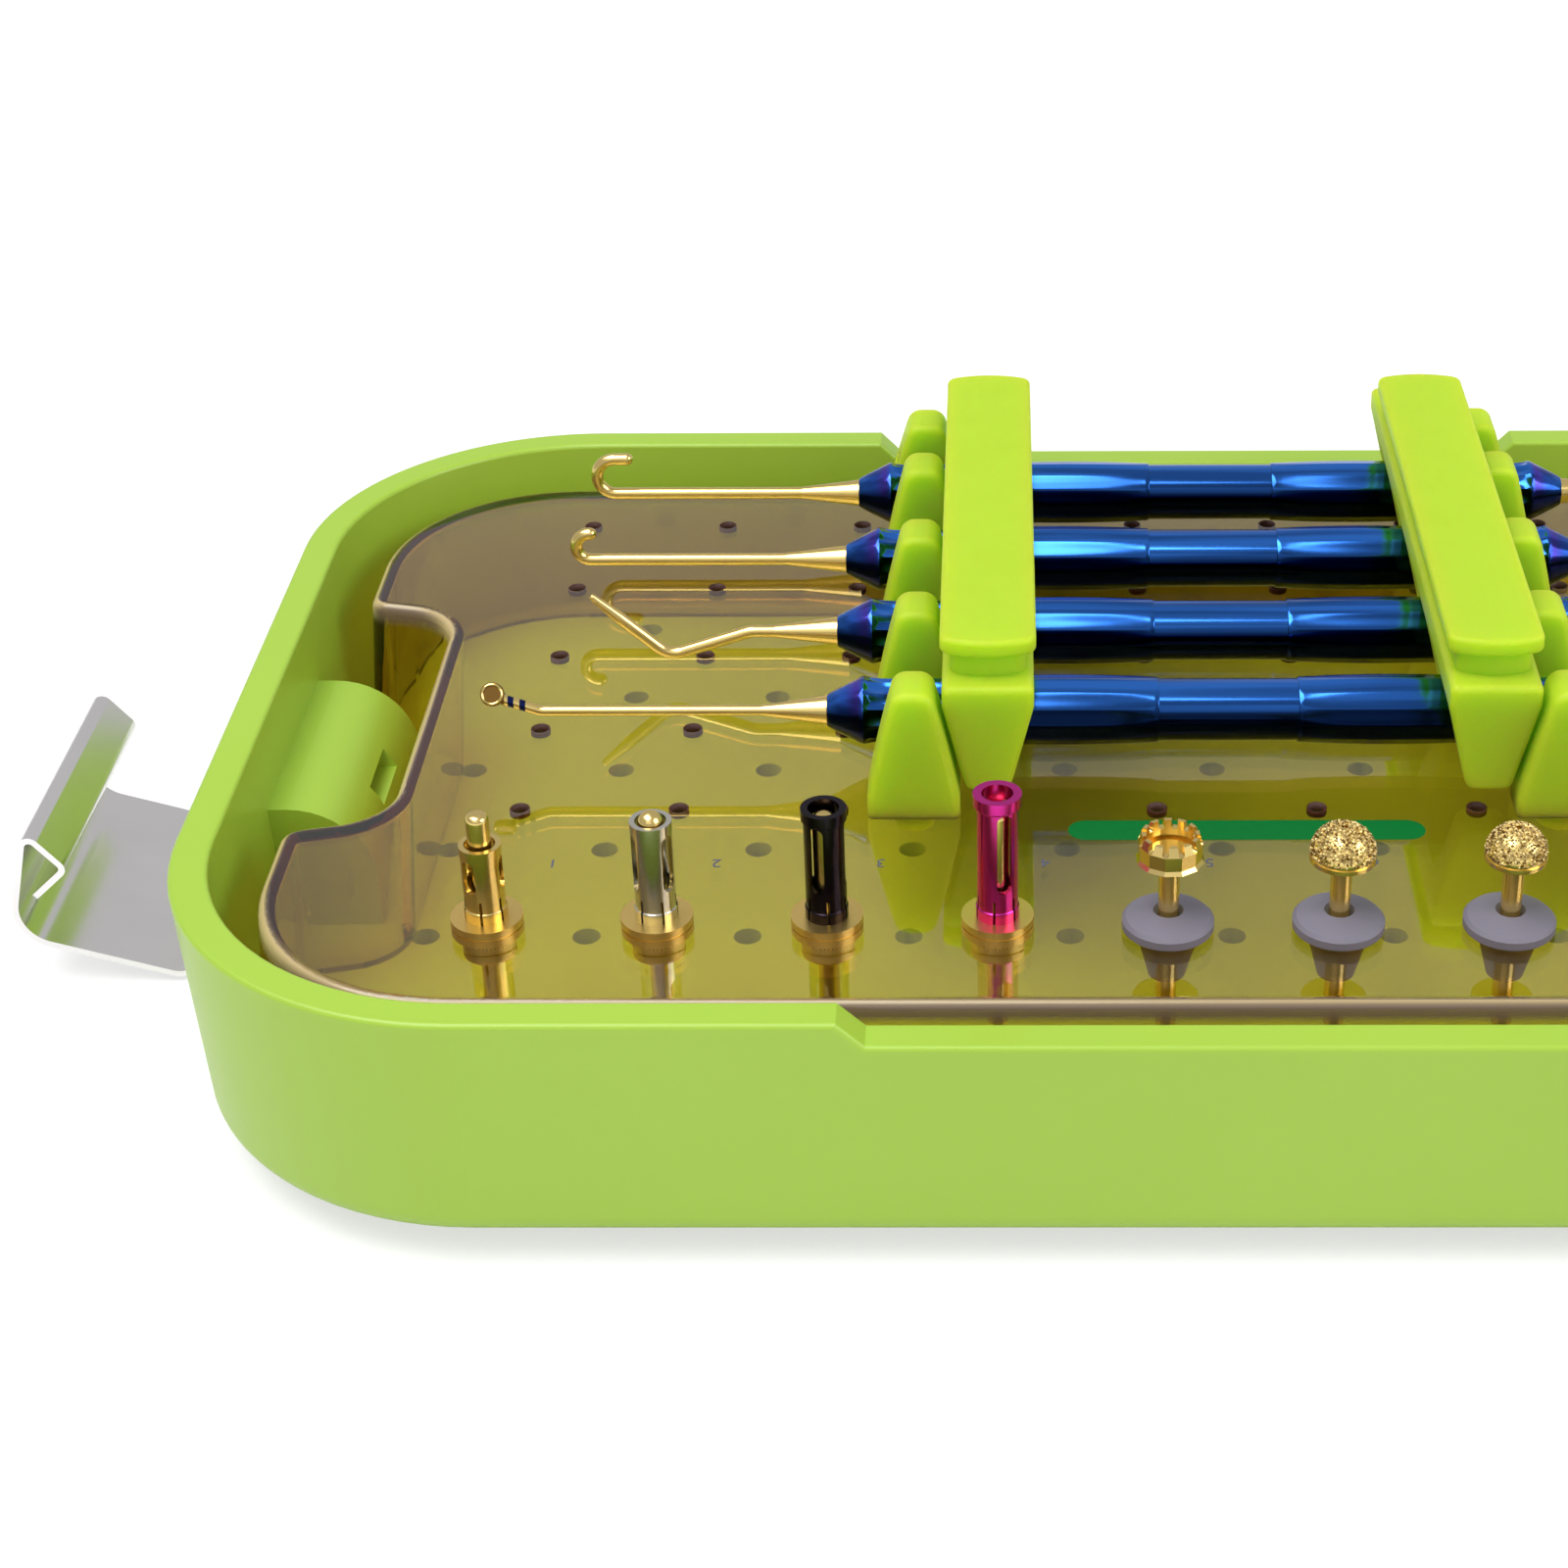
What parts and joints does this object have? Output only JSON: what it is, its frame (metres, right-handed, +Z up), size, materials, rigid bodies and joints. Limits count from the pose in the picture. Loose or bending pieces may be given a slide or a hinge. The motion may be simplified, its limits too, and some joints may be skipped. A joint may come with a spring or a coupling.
{
  "type": "dental instrument cassette",
  "caption": "Open sterilisation cassette: tray with end latches, lift-out amber insert, racks and clamp bars for double-ended instruments, and a row of holders with drills and burs.",
  "frame": {"origin": "on the table, under the middle of the tray", "axes": "+X along the tray towards the right-hand latch, +Y towards the rear (the bars' hinges), +Z up"},
  "size_m": [0.3034, 0.1484, 0.0512],
  "materials": {
    "tray_plastic": "satin moulded plastic",
    "foot_silicone": "matte",
    "latch_steel": "fine polished sheet",
    "amber_plate": "clear amber, polished",
    "rack_silicone": "soft matte silicone",
    "blue_metal": "polished, anodised blue",
    "gold_metal": "polished, gold coated",
    "silver_metal": "polished",
    "black_metal": "satin, anodised black",
    "magenta_metal": "polished, anodised magenta",
    "grommet_silicone": "soft matte silicone"
  },
  "bodies": {
    "tray": {"tray": "tray_plastic", "tray_feet": "foot_silicone", "left_latch_pin": "latch_steel", "right_latch_pin": "latch_steel"},
    "left_latch": {"left_latch": "latch_steel"},
    "right_latch": {"right_latch": "latch_steel"},
    "insert": {"insert_plate": "amber_plate", "left_comb": "rack_silicone", "right_comb": "rack_silicone", "left_bar_pin": "latch_steel", "right_bar_pin": "latch_steel", "handle_1": "blue_metal", "handle_2": "blue_metal", "handle_3": "blue_metal", "handle_4": "blue_metal", "tip_1_left": "gold_metal", "tip_1_right": "gold_metal", "tip_2_left": "gold_metal", "tip_2_right": "gold_metal", "tip_3_left": "gold_metal", "tip_3_right": "gold_metal", "tip_4_left": "gold_metal", "tip_4_right": "gold_metal", "guide_1": "gold_metal", "guide_2": "gold_metal", "guide_3": "gold_metal", "guide_4": "gold_metal", "grommet_5": "grommet_silicone", "grommet_6": "grommet_silicone", "grommet_7": "grommet_silicone", "grommet_8": "grommet_silicone", "grommet_9": "grommet_silicone", "grommet_10": "grommet_silicone"},
    "left_clamp_bar": {"left_clamp_bar": "rack_silicone"},
    "right_clamp_bar": {"right_clamp_bar": "rack_silicone"},
    "driver_1": {"sleeve_1": "gold_metal", "drill_1": "gold_metal"},
    "driver_2": {"sleeve_2": "silver_metal", "drill_2": "gold_metal"},
    "driver_3": {"sleeve_3": "black_metal", "drill_3": "gold_metal"},
    "driver_4": {"sleeve_4": "magenta_metal", "drill_4": "gold_metal"},
    "bur_5": {"bur_5": "gold_metal"},
    "bur_6": {"bur_6": "gold_metal"},
    "bur_7": {"bur_7": "gold_metal"},
    "bur_8": {"bur_8": "gold_metal"},
    "bur_9": {"bur_9": "gold_metal"},
    "bur_10": {"bur_10": "gold_metal"}
  },
  "joints": [
    {"name": "left_latch_hinge", "type": "hinge", "parent": "tray", "child": "left_latch", "pos_m": [-0.1165, 0, 0.0095], "axis": [0, 1, 0], "range_deg": [0, 65]},
    {"name": "right_latch_hinge", "type": "hinge", "parent": "tray", "child": "right_latch", "pos_m": [0.1165, 0, 0.0095], "axis": [0, -1, 0], "range_deg": [0, 65]},
    {"name": "insert_lift", "type": "slide", "parent": "tray", "child": "insert", "axis": [0, 0, 1], "range_m": [0, 0.06]},
    {"name": "left_bar_hinge", "type": "hinge", "parent": "insert", "child": "left_clamp_bar", "pos_m": [-0.0302, 0.0575, 0.0365], "axis": [-1, 0, 0], "range_deg": [0, 100]},
    {"name": "right_bar_hinge", "type": "hinge", "parent": "insert", "child": "right_clamp_bar", "pos_m": [0.0292, 0.0575, 0.0365], "axis": [-1, 0, 0], "range_deg": [0, 100]},
    {"name": "driver_1_lift", "type": "slide", "parent": "insert", "child": "driver_1", "axis": [0, 0, 1], "range_m": [0, 0.03]},
    {"name": "driver_2_lift", "type": "slide", "parent": "insert", "child": "driver_2", "axis": [0, 0, 1], "range_m": [0, 0.03]},
    {"name": "driver_3_lift", "type": "slide", "parent": "insert", "child": "driver_3", "axis": [0, 0, 1], "range_m": [0, 0.03]},
    {"name": "driver_4_lift", "type": "slide", "parent": "insert", "child": "driver_4", "axis": [0, 0, 1], "range_m": [0, 0.03]},
    {"name": "bur_5_lift", "type": "slide", "parent": "insert", "child": "bur_5", "axis": [0, 0, 1], "range_m": [0, 0.03]},
    {"name": "bur_6_lift", "type": "slide", "parent": "insert", "child": "bur_6", "axis": [0, 0, 1], "range_m": [0, 0.03]},
    {"name": "bur_7_lift", "type": "slide", "parent": "insert", "child": "bur_7", "axis": [0, 0, 1], "range_m": [0, 0.03]},
    {"name": "bur_8_lift", "type": "slide", "parent": "insert", "child": "bur_8", "axis": [0, 0, 1], "range_m": [0, 0.03]},
    {"name": "bur_9_lift", "type": "slide", "parent": "insert", "child": "bur_9", "axis": [0, 0, 1], "range_m": [0, 0.03]},
    {"name": "bur_10_lift", "type": "slide", "parent": "insert", "child": "bur_10", "axis": [0, 0, 1], "range_m": [0, 0.03]}
  ]
}
